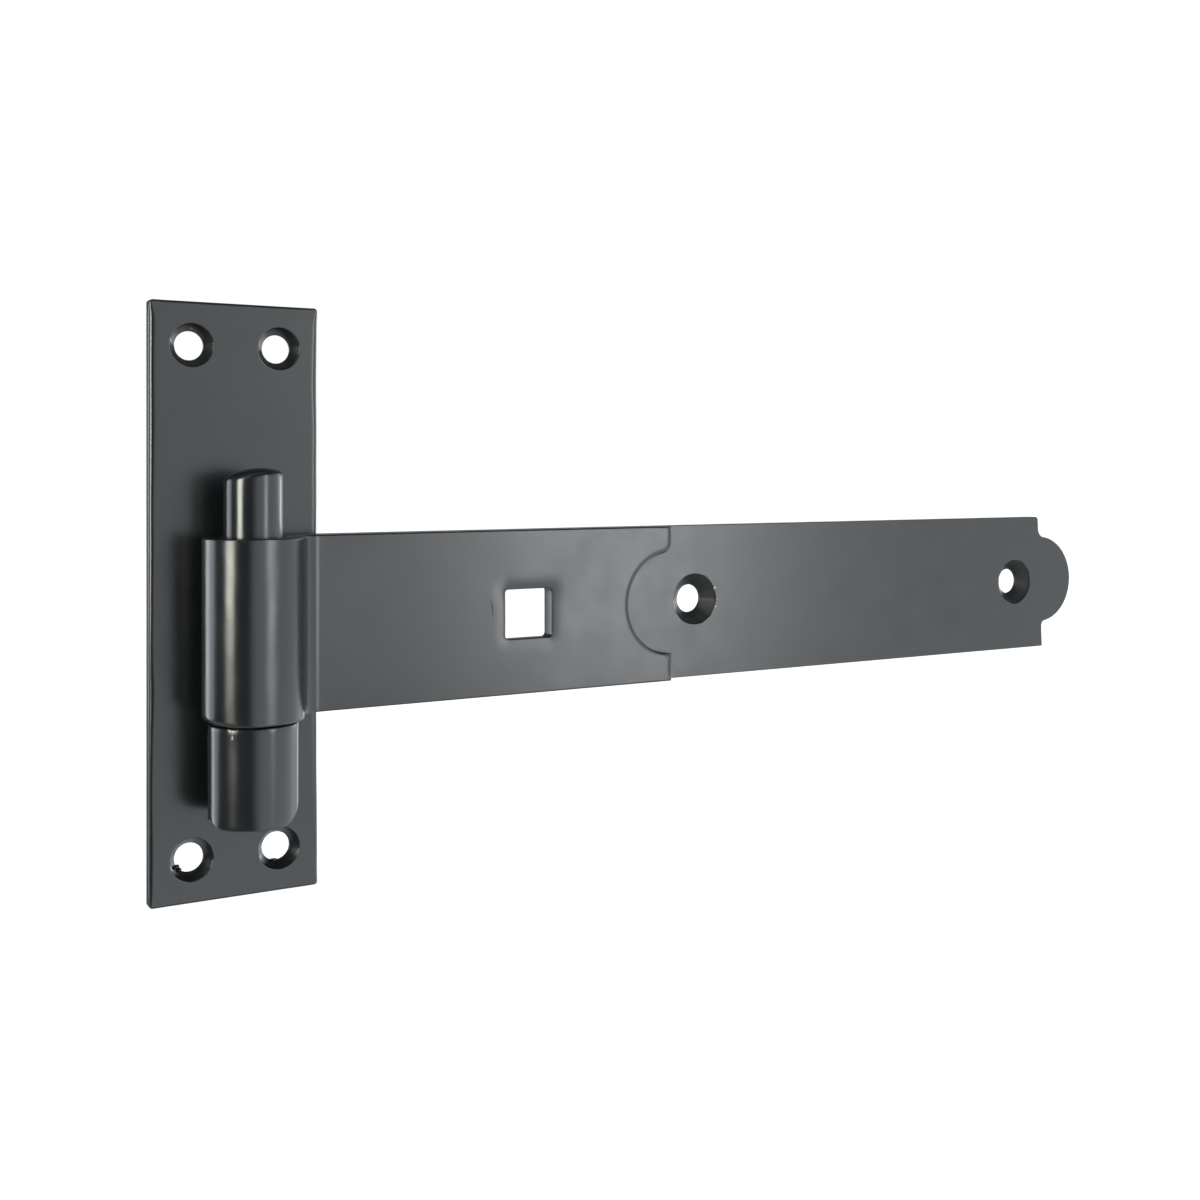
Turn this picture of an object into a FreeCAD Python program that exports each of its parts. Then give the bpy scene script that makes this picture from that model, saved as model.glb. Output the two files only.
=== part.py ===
import FreeCAD, Part
import math
import os

from FreeCAD import Vector

# Hook and band hinge for a gate. All sizes are in millimetres.
# X runs along the band, +Y points into the gate post and +Z is up.
# The origin is the centre of the plate's back face, which lies on the post.

# Hook plate
plate_width = 38.5
plate_height = 134.0
plate_thickness = 3.0
plate_corner_radius = 0.8
plate_edge_chamfer = 0.5
plate_screw_inset_x = 9.25
plate_screw_inset_z = 9.75
plate_screw_bore = 6.5
plate_screw_head = 9.8

# Hook pin, a turned pin on a stouter boss that is riveted through the plate
pin_diameter = 12.7
pin_reach_above_band = 15.1
pin_dome_radius = 12.7
pin_rim_radius = 0.8
boss_diameter = 19.3
boss_length = 21.9
boss_edge_chamfer = 0.5
boss_corner_radius = 0.9
boss_rollover_radius = 4.0
neck_width = 12.0
neck_height = 15.0
neck_edge_radius = 1.5
tenon_diameter = 9.0
rivet_head_diameter = 12.0
rivet_head_depth = 1.5

# Band, one flat strip folded round the pin
band_width = 40.0
band_centre_height = -5.2
leaf_thickness = 4.0
leaf_edge_chamfer = 0.4
front_leaf_reach = 111.5
band_shoulder_reach = 251.2
shoulder_corner_radius = 1.0
eye_relief_radius = 5.5
eye_corner_radius = 2.0
eye_corner_fade = 2.4
crop_radius = 13.1
crop_blend_radius = 1.5
crop_edge_round = 1.0
front_crop_rise = 0.2
far_crop_rise = 0.7
far_crop_lean = 2.6

# Holes in the band
bolt_hole_reach = 69.6
bolt_hole_width = 12.7
bolt_hole_height = 12.1
bolt_hole_drop = 0.5
bolt_hole_corner = 0.9
bolt_hole_edge_chamfer = 0.6
back_bolt_hole_width = 18.4
band_screw_bore = 7.4
band_screw_head = 13.5
near_screw_inset = 10.0
far_screw_inset = 11.2
band_screw_rise = 0.4

# Clearances
eye_clearance = 0.6
thrust_clearance = 0.3
eye_plate_clearance = 1.75
eye_corner_clearance = 0.02
leaf_gap = 0.2
rivet_clearance = 0.05
cut_margin = 2.0

# Places that follow from the sizes above
eye_inner_radius = pin_diameter / 2 + eye_clearance
eye_outer_radius = eye_inner_radius + leaf_thickness
pin_axis_y = -(plate_thickness + eye_plate_clearance + eye_outer_radius)
band_top = band_centre_height + band_width / 2
band_bottom = band_centre_height - band_width / 2
back_leaf_back = pin_axis_y + eye_outer_radius
back_leaf_front = back_leaf_back - leaf_thickness
front_leaf_back = back_leaf_front - leaf_gap
front_leaf_front = front_leaf_back - leaf_thickness
boss_top = band_bottom - thrust_clearance
boss_bottom = boss_top - boss_length
boss_middle = (boss_top + boss_bottom) / 2
plate_screw_x = plate_width / 2 - plate_screw_inset_x
plate_screw_z = plate_height / 2 - plate_screw_inset_z
near_screw_reach = front_leaf_reach + near_screw_inset
far_screw_reach = band_shoulder_reach - far_screw_inset
front_crop_centre = Vector(front_leaf_reach, 0, band_centre_height + front_crop_rise)
far_crop_centre = Vector(band_shoulder_reach, 0, band_centre_height + far_crop_rise)

AXIS_Y = Vector(0, 1, 0)
AXIS_Z = Vector(0, 0, 1)


def on_circle(centre, radius, degrees):
    """Point on a circle that lies flat in the XY plane."""
    angle = math.radians(degrees)
    return centre + Vector(radius * math.cos(angle), radius * math.sin(angle), 0)


def arc(centre, radius, start, end):
    """Edge of a circle in the XY plane from one angle to another, in degrees."""
    points = [on_circle(centre, radius, start + (end - start) * share) for share in (0, 0.5, 1)]
    return Part.Arc(*points).toShape()


def line(start, end):
    """Straight edge between two points."""
    return Part.LineSegment(start, end).toShape()


def loop(points):
    """Straight edges that join a list of points, left open at the end."""
    return [line(start, end) for start, end in zip(points, points[1:])]


def prism(edges, travel):
    """Solid that a closed outline sweeps along a straight travel."""
    return Part.Face(Part.Wire(edges)).extrude(travel)


def block(low, high):
    """Box between two opposite corners."""
    size = high - low
    return Part.makeBox(size.x, size.y, size.z, low)


def edges_where(solid, test):
    """Edges of a solid whose every end and middle point passes a test."""
    chosen = []
    for edge in solid.Edges:
        middle = edge.valueAt((edge.FirstParameter + edge.LastParameter) / 2)
        points = [middle] + [vertex.Point for vertex in edge.Vertexes]
        if all(test(point) for point in points):
            chosen.append(edge)
    return chosen


def near(value, target):
    """True where two lengths are the same within a hair."""
    return abs(value - target) < 1e-4


def countersunk_cutter(x, z, face_y, thickness, bore, head):
    """Through hole along Y with a right-angled countersink in its front face."""
    depth = (head - bore) / 2
    foot = Vector(x, face_y - cut_margin, z)
    hole = Part.makeCylinder(bore / 2, thickness + 2 * cut_margin, foot, AXIS_Y)
    mouth = Part.makeCylinder(head / 2, cut_margin, foot, AXIS_Y)
    sink = Part.makeCone(head / 2, bore / 2, depth, Vector(x, face_y, z), AXIS_Y)
    return hole.fuse([mouth, sink])


def rivet(clearance):
    """Tenon through the plate, spread flush into a countersink in its back."""
    radius = tenon_diameter / 2 + clearance
    head_radius = rivet_head_diameter / 2 + clearance
    foot = Vector(0, -plate_thickness, boss_middle)
    tenon = Part.makeCylinder(radius, plate_thickness, foot, AXIS_Y)
    head_foot = Vector(0, -rivet_head_depth, boss_middle)
    head = Part.makeCone(radius, head_radius, rivet_head_depth, head_foot, AXIS_Y)
    return tenon.fuse(head)


def make_plate():
    """Flat plate with four countersunk screw holes and the rivet's seat."""
    half_width = plate_width / 2
    half_height = plate_height / 2
    plate = block(Vector(-half_width, -plate_thickness, -half_height), Vector(half_width, 0, half_height))
    corners = edges_where(plate, lambda p: near(abs(p.x), half_width) and near(abs(p.z), half_height))
    plate = plate.makeFillet(plate_corner_radius, corners)
    plate = plate.makeChamfer(plate_edge_chamfer, edges_where(plate, lambda p: near(p.y, -plate_thickness)))
    cutters = [rivet(rivet_clearance)]
    sizes = (-plate_thickness, plate_thickness, plate_screw_bore, plate_screw_head)
    for x in (-plate_screw_x, plate_screw_x):
        for z in (-plate_screw_z, plate_screw_z):
            cutters.append(countersunk_cutter(x, z, *sizes))
    return plate.cut(cutters)


def make_pin():
    """Round pin with a low dome that runs into its side over a rounded rim."""
    radius = pin_diameter / 2
    peak = band_top + pin_reach_above_band
    dome_centre = peak - pin_dome_radius
    rim_reach = radius - pin_rim_radius
    rim_height = dome_centre + math.sqrt((pin_dome_radius - pin_rim_radius) ** 2 - rim_reach ** 2)
    rim_angle = math.asin(rim_reach / (pin_dome_radius - pin_rim_radius))

    def at(reach, height):
        return Vector(reach, pin_axis_y, height)

    def on_dome(angle):
        return at(pin_dome_radius * math.sin(angle), dome_centre + pin_dome_radius * math.cos(angle))

    def on_rim(angle):
        reach = rim_reach + pin_rim_radius * math.sin(angle)
        return at(reach, rim_height + pin_rim_radius * math.cos(angle))

    side = on_rim(math.pi / 2)
    profile = [
        Part.Arc(on_dome(0), on_dome(rim_angle / 2), on_dome(rim_angle)).toShape(),
        Part.Arc(on_dome(rim_angle), on_rim((rim_angle + math.pi / 2) / 2), side).toShape(),
    ]
    profile += loop([side, at(radius, boss_top), at(0, boss_top), on_dome(0)])
    return Part.Face(Part.Wire(profile)).revolve(at(0, 0), AXIS_Z, 360)


def make_boss():
    """Stout foot of the pin, cropped square below with its gate side rolled over."""
    radius = boss_diameter / 2
    boss = Part.makeCylinder(radius, boss_length, Vector(0, pin_axis_y, boss_bottom), AXIS_Z)
    boss = boss.makeChamfer(boss_edge_chamfer, edges_where(boss, lambda p: near(p.z, boss_top)))
    front = Vector(-radius, pin_axis_y - radius - cut_margin, boss_bottom)
    back = Vector(radius, pin_axis_y + radius + cut_margin, boss_top)
    envelope = block(front, back)
    rolled = edges_where(envelope, lambda p: near(p.x, radius) and near(p.z, boss_bottom))
    envelope = envelope.makeFillet(boss_rollover_radius, rolled)
    cropped = edges_where(envelope, lambda p: near(p.x, -radius) and near(p.z, boss_bottom))
    return boss.common(envelope.makeFillet(boss_corner_radius, cropped))


def make_hook():
    """Pin, boss, neck and rivet as the one forging they are."""
    neck = block(
        Vector(-neck_width / 2, pin_axis_y, boss_middle - neck_height / 2),
        Vector(neck_width / 2, -plate_thickness, boss_middle + neck_height / 2),
    )
    corners = edges_where(
        neck,
        lambda p: near(abs(p.x), neck_width / 2) and near(abs(p.z - boss_middle), neck_height / 2),
    )
    neck = neck.makeFillet(neck_edge_radius, corners)
    return make_boss().fuse([make_pin(), neck, rivet(0)]).removeSplitter()


def strip_section():
    """Outline of the folded strip seen from above, with both ends left long."""
    pin_axis = Vector(0, pin_axis_y, 0)
    bend_y = front_leaf_front - eye_relief_radius
    bend_distance = eye_outer_radius + eye_relief_radius
    bend_x = math.sqrt(bend_distance ** 2 - (pin_axis_y - bend_y) ** 2)
    bend = Vector(bend_x, bend_y, 0)
    turn = math.degrees(math.atan2(bend_y - pin_axis_y, bend_x))
    inner_bend_radius = eye_relief_radius + leaf_thickness
    front_end = front_leaf_reach + cut_margin
    back_end = band_shoulder_reach + crop_radius + cut_margin
    front_tail = loop([
        Vector(bend_x, front_leaf_front, 0),
        Vector(front_end, front_leaf_front, 0),
        Vector(front_end, front_leaf_back, 0),
        Vector(bend_x, front_leaf_back, 0),
    ])
    back_tail = loop([
        Vector(0, back_leaf_front, 0),
        Vector(back_end, back_leaf_front, 0),
        Vector(back_end, back_leaf_back, 0),
        Vector(0, back_leaf_back, 0),
    ])
    outside = [arc(pin_axis, eye_outer_radius, 90, 360 + turn), arc(bend, eye_relief_radius, 180 + turn, 90)]
    inside = [arc(bend, inner_bend_radius, 90, 180 + turn), arc(pin_axis, eye_inner_radius, 360 + turn, 90)]
    return outside + front_tail + inside + back_tail


def crop_line(centre, way, blends):
    """Line of the cropping tool from below the strip to above it.

    The tool leaves a round tongue on one end, way +1, and its hollow on the other,
    way -1. The round runs into the square shoulder through a blend, which may be
    left out below or above with a radius of nothing.
    """
    def at(x, z):
        return centre + Vector(way * x, 0, z)

    def blend(side, radius):
        rise = math.sqrt((crop_radius + radius) ** 2 - radius ** 2)
        share = crop_radius / (crop_radius + radius)
        middle = at(radius, side * rise)
        shoulder = at(0, side * rise)
        tongue = at(share * radius, side * share * rise)
        toward = ((shoulder - middle) + (tongue - middle)).normalize()
        return [shoulder, middle + toward * radius, tongue]

    below = at(0, -band_width)
    above = at(0, band_width)
    lower = blend(-1, blends[0]) if blends[0] else [at(0, -crop_radius)]
    upper = blend(1, blends[1]) if blends[1] else [at(0, crop_radius)]
    edges = [line(below, lower[0])]
    if blends[0]:
        edges.append(Part.Arc(*lower).toShape())
    edges.append(Part.Arc(lower[-1], at(crop_radius, 0), upper[-1]).toShape())
    if blends[1]:
        edges.append(Part.Arc(*reversed(upper)).toShape())
    edges.append(line(upper[0], above))
    return edges


def crop_cutter(centre, way, blends, y_front, y_back, lean):
    """Prism that crops one end of the strip, turned by a lean about its centre."""
    low = centre - AXIS_Z * band_width
    high = centre + AXIS_Z * band_width
    out = Vector(2 * crop_radius, 0, 0)
    outline = crop_line(centre, way, blends) + loop([high, high + out, low + out, low])
    cutter = prism(outline, AXIS_Y * (y_back - y_front))
    cutter.translate(AXIS_Y * y_front)
    return cutter.rotate(centre, AXIS_Y, -lean)


def square_cutter(width, height, y_front, y_back):
    """Rectangular hole along Y with rounded corners, at the bolt's place."""
    centre = band_centre_height - bolt_hole_drop
    cutter = block(
        Vector(bolt_hole_reach - width / 2, y_front, centre - height / 2),
        Vector(bolt_hole_reach + width / 2, y_back, centre + height / 2),
    )
    corners = edges_where(
        cutter,
        lambda p: near(abs(p.x - bolt_hole_reach), width / 2) and near(abs(p.z - centre), height / 2),
    )
    return cutter.makeFillet(bolt_hole_corner, corners)


def eye_corner_cutter():
    """Half ring that rounds the eye's lower corner and fades out to both leaves."""
    radius = eye_outer_radius + eye_corner_fade + eye_corner_clearance
    axis = Vector(eye_corner_fade, pin_axis_y, 0)
    bottom = band_bottom

    def at(reach, height):
        return axis + Vector(0, reach, bottom + height)

    diagonal = eye_corner_radius * (1 - math.sqrt(0.5))
    low = at(radius - eye_corner_radius, 0)
    high = at(radius, eye_corner_radius)
    corner = Part.Arc(low, at(radius - diagonal, diagonal), high).toShape()
    outer = loop([
        high,
        high + AXIS_Y * cut_margin,
        at(radius + cut_margin, -cut_margin),
        low - AXIS_Z * cut_margin,
        low,
    ])
    return Part.Face(Part.Wire([corner] + outer)).revolve(axis, AXIS_Z, 180)


def ease_edges(band):
    """Ease the strip's outer edges, the long rims and the tongue's outline alike."""
    def on_outside(point):
        on_back = near(point.y, back_leaf_back) and point.x > -1e-4
        on_front = near(point.y, front_leaf_front) and point.x > eye_outer_radius
        on_tongue = near(point.y, back_leaf_front) and point.x > far_screw_reach
        on_eye = near(math.hypot(point.x, point.y - pin_axis_y), eye_outer_radius)
        return on_back or on_front or on_tongue or on_eye

    def on_rim(point):
        at_height = near(point.z, band_top) or near(point.z, band_bottom)
        return on_outside(point) and (at_height or point.x > far_screw_reach)

    return band.makeChamfer(leaf_edge_chamfer, edges_where(band, on_rim))


def crop_strip(band):
    """Crop the strip's far end to its tongue and its front leaf to the hollow."""
    gap_middle = back_leaf_front - leaf_gap / 2
    front_side = front_leaf_front - cut_margin
    back_side = back_leaf_back + cut_margin
    tongue_blends = (crop_blend_radius, crop_blend_radius)
    hollow_blends = (0, crop_blend_radius)
    band = band.cut(crop_cutter(far_crop_centre, 1, tongue_blends, front_side, back_side, far_crop_lean))
    corner = edges_where(band, lambda p: near(p.z, band_top) and p.x > far_screw_reach)
    corner = [edge for edge in corner if edge.BoundBox.XLength < leaf_gap]
    band = ease_edges(band.makeFillet(shoulder_corner_radius, corner))
    band = band.cut(crop_cutter(front_crop_centre, -1, hollow_blends, front_side, gap_middle, 0))
    hollow_start = front_leaf_reach - crop_radius - cut_margin
    mouth = edges_where(band, lambda p: near(p.y, front_leaf_front) and p.x > hollow_start)
    return band.makeFillet(crop_edge_round, [edge for edge in mouth if edge.BoundBox.ZLength > leaf_gap])


def make_band():
    """The folded strip with its cropped ends, screw holes and bolt hole."""
    gap_middle = back_leaf_front - leaf_gap / 2
    front_side = front_leaf_front - cut_margin
    back_side = back_leaf_back + cut_margin
    band = prism(strip_section(), AXIS_Z * band_width)
    band.translate(AXIS_Z * band_bottom)
    band = crop_strip(band)
    height = band_centre_height + band_screw_rise
    sizes = (back_leaf_front, leaf_thickness, band_screw_bore, band_screw_head)
    cutters = [
        eye_corner_cutter(),
        square_cutter(bolt_hole_width, bolt_hole_height, front_side, gap_middle),
        square_cutter(back_bolt_hole_width, back_bolt_hole_width, gap_middle, back_side),
    ]
    for reach in (near_screw_reach, far_screw_reach):
        cutters.append(countersunk_cutter(reach, height, *sizes))
    band = band.cut(cutters)
    mouth = edges_where(
        band,
        lambda p: near(p.y, front_leaf_front) and abs(p.x - bolt_hole_reach) < bolt_hole_width,
    )
    mouth = [edge for edge in mouth if edge.Length < 2 * bolt_hole_width]
    return band.makeChamfer(bolt_hole_edge_chamfer, mouth)


def export_parts():
    """Write each piece to its own file."""
    os.makedirs("parts", exist_ok=True)
    pieces = {"hook_plate": make_plate(), "hook_pin": make_hook(), "band": make_band()}
    for name, shape in pieces.items():
        shape.exportStep("parts/" + name + ".step")


export_parts()
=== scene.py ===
import math

import bmesh
import bpy
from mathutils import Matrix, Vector, geometry, noise


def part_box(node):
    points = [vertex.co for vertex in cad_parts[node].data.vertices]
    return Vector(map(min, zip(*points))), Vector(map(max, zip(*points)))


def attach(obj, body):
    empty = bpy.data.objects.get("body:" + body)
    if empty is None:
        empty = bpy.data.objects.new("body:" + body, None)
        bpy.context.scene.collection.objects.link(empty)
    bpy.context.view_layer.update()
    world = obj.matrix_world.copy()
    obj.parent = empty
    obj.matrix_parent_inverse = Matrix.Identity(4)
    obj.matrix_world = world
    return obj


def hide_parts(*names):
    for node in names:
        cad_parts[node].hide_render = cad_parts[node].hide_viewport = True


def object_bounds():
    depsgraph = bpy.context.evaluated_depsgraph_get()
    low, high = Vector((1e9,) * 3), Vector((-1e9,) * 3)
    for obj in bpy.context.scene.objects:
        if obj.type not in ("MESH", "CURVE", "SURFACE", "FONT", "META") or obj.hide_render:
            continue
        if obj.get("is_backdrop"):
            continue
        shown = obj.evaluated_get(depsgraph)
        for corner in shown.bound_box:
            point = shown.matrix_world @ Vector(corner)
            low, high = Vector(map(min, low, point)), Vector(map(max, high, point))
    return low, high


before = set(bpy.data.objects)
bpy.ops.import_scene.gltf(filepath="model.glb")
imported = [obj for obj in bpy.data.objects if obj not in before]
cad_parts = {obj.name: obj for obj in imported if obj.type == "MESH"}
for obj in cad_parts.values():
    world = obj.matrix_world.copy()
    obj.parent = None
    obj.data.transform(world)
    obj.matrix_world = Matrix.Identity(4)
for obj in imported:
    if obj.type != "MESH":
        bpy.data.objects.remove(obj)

bl_info = {
    "name": "Hook and band hinge",
    "version": (1, 0, 0),
    "blender": (4, 5, 0),
    "location": "View3D > Sidebar > Hinge",
    "description": "Builds a powder-coated hook and band hinge and sets it on a pale studio stage",
    "category": "Object",
}

# The frame is in metres. The shapes below are worked out in millimetres, like the drawing.
MM = 0.001
# Side of the square picture, in pixels, and the width that the lens is counted for, in millimetres.
IMAGE_SIDE = 1200
SENSOR = 36.0
# A flat face keeps its own shading up to this far from a rounded edge, in millimetres.
HOLD = 0.2

PLATE_LOW, PLATE_HIGH = (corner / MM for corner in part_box("hook_plate"))
PIN_LOW, PIN_HIGH = (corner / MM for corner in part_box("hook_pin"))
BAND_LOW, BAND_HIGH = (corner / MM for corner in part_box("band"))


# Outlines in a plane, in millimetres


def arc_points(centre, radius, start, end, step=6.0):
    """Points along an arc between two angles in degrees, both ends kept, at most one step apart."""
    count = max(1, math.ceil(abs(end - start) / step))
    angles = [math.radians(start + (end - start) * i / count) for i in range(count + 1)]
    return [Vector((centre[0] + radius * math.cos(a), centre[1] + radius * math.sin(a))) for a in angles]


def line_points(start, end, step=3.0):
    """Points along a straight line, its end left out."""
    start, end = Vector(start), Vector(end)
    count = max(1, math.ceil((end - start).length / step))
    return [start.lerp(end, i / count) for i in range(count)]


def corner_points(before, corner, after, radius):
    """Points that round off a corner between two straight lines."""
    to_before = (Vector(before) - Vector(corner)).normalized()
    to_after = (Vector(after) - Vector(corner)).normalized()
    half = to_before.angle(to_after) / 2
    centre = Vector(corner) + (to_before + to_after).normalized() * radius / math.sin(half)
    first = Vector(corner) + to_before * radius / math.tan(half) - centre
    last = Vector(corner) + to_after * radius / math.tan(half) - centre
    start = math.degrees(math.atan2(first.y, first.x))
    sweep = math.degrees(math.atan2(first.cross(last), first.dot(last)))
    return arc_points(centre, radius, start, start + sweep, 15.0)


def rectangle_points(centre, width, height, radius, step=3.0):
    """Anticlockwise outline of a rectangle with rounded corners."""
    x, z = width / 2, height / 2
    corners = [Vector((centre[0] + sx * x, centre[1] + sz * z)) for sx, sz in ((-1, -1), (1, -1), (1, 1), (-1, 1))]
    rounds = [corner_points(corners[i - 1], corners[i], corners[(i + 1) % 4], radius) for i in range(4)]
    points = []
    for i, rounded in enumerate(rounds):
        points += rounded[:-1] + line_points(rounded[-1], rounds[(i + 1) % 4][0], step)
    return points


def circle_points(centre, radius, count=64):
    """Clockwise outline of a round hole."""
    return list(reversed(arc_points(centre, radius, 0, 360, 360 / count)[1:]))


def sides_at(points, i):
    """Unit vectors to the left of the outline before and after one of its points."""
    before = (points[i] - points[i - 1]).normalized()
    after = (points[(i + 1) % len(points)] - points[i]).normalized()
    return Vector((-before.y, before.x)), Vector((-after.y, after.x))


def is_sharp(points, i):
    """True at a square corner that sticks out of the material."""
    before, after = sides_at(points, i)
    return before.cross(after) > 0.7


def inset_points(points, insets):
    """The outline moved to its left; a square corner keeps the inset of the side that it ends."""
    moved = []
    for i, point in enumerate(points):
        before, after = sides_at(points, i)
        if is_sharp(points, i):
            near, far = insets[i - 1], insets[(i + 1) % len(points)]
            square = before.dot(after)
            shift = before * (near - far * square) + after * (far - near * square)
            moved.append(point + shift / (1 - square * square))
        else:
            moved.append(point + (before + after) * insets[i] / (1 + before.dot(after)))
    return moved


def clear_corners(points, rims):
    """Leaves out points so close to a square corner that their inset would cross it."""
    corners = [points[i] for i in range(len(points)) if is_sharp(points, i)]
    kept = []
    for point, rim in zip(points, rims):
        reach = 1.15 * max(inset for inset, _ in rim)
        if not any(0 < (point - corner).length < reach for corner in corners):
            kept.append((point, rim))
    return [point for point, _ in kept], [rim for _, rim in kept]


# Rims: how an edge runs from the front face of a sheet to its back face


def bend(first, corner, last, count=5):
    """Points of a soft turn from one place to another; both ends are kept."""
    points = []
    for t in (i / count for i in range(count + 1)):
        points.append(tuple((1 - t) ** 2 * a + 2 * t * (1 - t) * b + t * t * c for a, b, c in zip(first, corner, last)))
    return points


def eased_rim(front, back, thickness, spread=1.0, dish=0.04, sag=0.0):
    """Steps of (inset, depth) for an edge rounded to one radius in front and another behind.

    Spread widens the front rounding along the face. Dish and sag are the width and the depth of
    the shallow dip that punching or cropping leaves beside it.
    """
    reach = front * spread
    steep = math.atan2(2 * sag, dish)
    steps = [(reach + dish + HOLD, 0.0)]
    steps += [(reach + dish * (1 - t), sag * t * t) for t in (0.0, 0.25, 0.5, 0.75)]
    for i in range(7):
        a = steep + (math.pi / 2 - steep) * i / 6
        steps.append((
            reach * (1 - math.sin(a)) / (1 - math.sin(steep)),
            sag + front * (math.cos(steep) - math.cos(a)) / math.cos(steep),
        ))
    for a in (math.radians(t) for t in range(90, -1, -15)):
        steps.append((back * (1 - math.sin(a)), thickness - back * (1 - math.cos(a))))
    return steps + [(back + HOLD, thickness)]


def countersunk_rim(bore, head, thickness, slope, lip=0.15):
    """Steps of (inset, depth) from the bore; slope is the depth of the cone over its width."""
    sink = (head - bore) / 2
    deep, tilt, back = sink * slope, math.atan(slope), 0.15
    steps = [(sink + lip + HOLD, 0.0)]
    steps += bend((sink + lip, 0.0), (sink, 0.0), (sink - lip * math.cos(tilt), lip * math.sin(tilt)))
    steps += [(sink * 0.5, deep * 0.5)]
    steps += bend((0.2 * math.cos(tilt), deep - 0.2 * math.sin(tilt)), (0.0, deep), (0.0, deep + 0.15), 3)
    steps += bend((0.0, thickness - back), (0.0, thickness), (back, thickness), 3)
    return steps + [(back + HOLD, thickness)]


def coated_countersink(hole, bore, head, thickness, slope, lip, wander):
    """The countersink's steps round a hole, where the baked coat makes the lip wander a little."""
    rims = []
    for point in hole:
        drift = noise.noise((point.x / 1.1, point.y / 1.1, 3.0))
        swell = noise.noise((point.x / 0.9, point.y / 0.9, 9.0))
        rims.append(countersunk_rim(bore, head + wander * drift, thickness, slope, lip * (1 + 0.6 * swell)))
    return rims


def turned_over(rim, thickness):
    """The same rim cut from the back face."""
    return [(inset, thickness - depth) for inset, depth in reversed(rim)]


# Meshes


class Sheet:
    """A flat piece of one thickness with rims round its outline and holes, laid into place by a rule."""

    def __init__(self, place):
        self.place = place
        self.points = []
        self.faces = []
        self.edges_of_face = {0: [], -1: []}

    def add_point(self, flat, depth):
        self.points.append(self.place(flat[0], flat[1], depth))
        return len(self.points) - 1

    def add_rim(self, outline, rims):
        """A closed outline with the material on its left; rims is one list of steps for every point of it."""
        outline, rims = clear_corners(outline, rims)
        rings = []
        for step in range(len(rims[0])):
            flats = inset_points(outline, [rim[step][0] for rim in rims])
            rings.append([(self.add_point(flat, rims[i][step][1]), flat) for i, flat in enumerate(flats)])
        for ring, following in zip(rings, rings[1:]):
            for i in range(len(ring)):
                j = (i + 1) % len(ring)
                self.faces.append((ring[i][0], ring[j][0], following[j][0], following[i][0]))
        for end in (0, -1):
            self.edges_of_face[end].append(rings[end])

    def add_face(self, end, depth, extra=()):
        """Fills the face at one end of the rims; extra is a list of columns of flat points inside it."""
        known, edges, rings = [], [], []
        for ring in self.edges_of_face[end]:
            first = len(known)
            known += ring
            edges += [(first + i, first + (i + 1) % len(ring)) for i in range(len(ring))]
            rings.append({point for point, _ in ring})
        for column in extra:
            first = len(known)
            known += [(self.add_point(flat, depth), flat) for flat in column]
            edges += [(first + i, first + i + 1) for i in range(len(column) - 1)]
        made = geometry.delaunay_2d_cdt([flat for _, flat in known], edges, [], 2, 1e-7)
        names = [known[origin[0]][0] for origin in made[3]]
        for face in made[2]:
            corners = tuple(names[i] for i in face)
            if not any(hole.issuperset(corners) for hole in rings[1:]):
                self.faces.append(corners)


def smooth_mesh(name, points, faces):
    """A smooth-shaded object from points in millimetres, with its faces turned outwards."""
    mesh = bpy.data.meshes.new(name)
    mesh.from_pydata([Vector(point) * MM for point in points], [], faces)
    work = bmesh.new()
    work.from_mesh(mesh)
    bmesh.ops.recalc_face_normals(work, faces=work.faces)
    work.to_mesh(mesh)
    work.free()
    mesh.polygons.foreach_set("use_smooth", [True] * len(mesh.polygons))
    piece = bpy.data.objects.new(name, mesh)
    bpy.context.scene.collection.objects.link(piece)
    return piece


def ring_faces(first, second):
    """Quads between two rings of point numbers."""
    count = len(first)
    return [(first[i], first[(i + 1) % count], second[(i + 1) % count], second[i]) for i in range(count)]


def hammered(point, size, height):
    """How far a hand-finished surface departs from true at a point, in millimetres."""
    return height * noise.noise(Vector(point) / size)


def add_bead(work, centre, radii, lean=0.0):
    """A lump of baked powder that sits half in the surface."""
    first = len(work.points)
    rows, columns = 7, 10
    for row in range(1, rows):
        a = math.pi * row / rows
        for column in range(columns):
            b = 2 * math.pi * column / columns
            spot = Vector((math.sin(a) * math.cos(b) * radii[0], math.sin(a) * math.sin(b) * radii[1], math.cos(a) * radii[2]))
            spot *= 1 + 0.5 * noise.noise(spot * 1.7 + Vector(centre))
            spot.x += lean * spot.z
            work.points.append(Vector(centre) + spot)
    for row in range(rows - 2):
        ring = list(range(first + row * columns, first + (row + 1) * columns))
        work.faces += ring_faces(ring, [i + columns for i in ring])
    work.faces.append(tuple(range(first, first + columns)))
    work.faces.append(tuple(reversed(range(first + (rows - 2) * columns, first + (rows - 1) * columns))))


# Colours and materials


def linear(hex_colour):
    """sRGB hex to the linear colour that a shader socket takes."""
    parts = [int(hex_colour[i:i + 2], 16) / 255 for i in (1, 3, 5)]
    return tuple(c / 12.92 if c <= 0.04045 else ((c + 0.055) / 1.055) ** 2.4 for c in parts) + (1.0,)


def add_node(tree, kind, settings=None, inputs=None):
    """One node with its settings; each input is a value, or the output socket that feeds it."""
    node = tree.nodes.new(kind)
    for key, value in (settings or {}).items():
        setattr(node, key, value)
    for key, value in (inputs or {}).items():
        if isinstance(value, bpy.types.NodeSocket):
            tree.links.new(value, node.inputs[key])
        else:
            node.inputs[key].default_value = value
    return node


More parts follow.
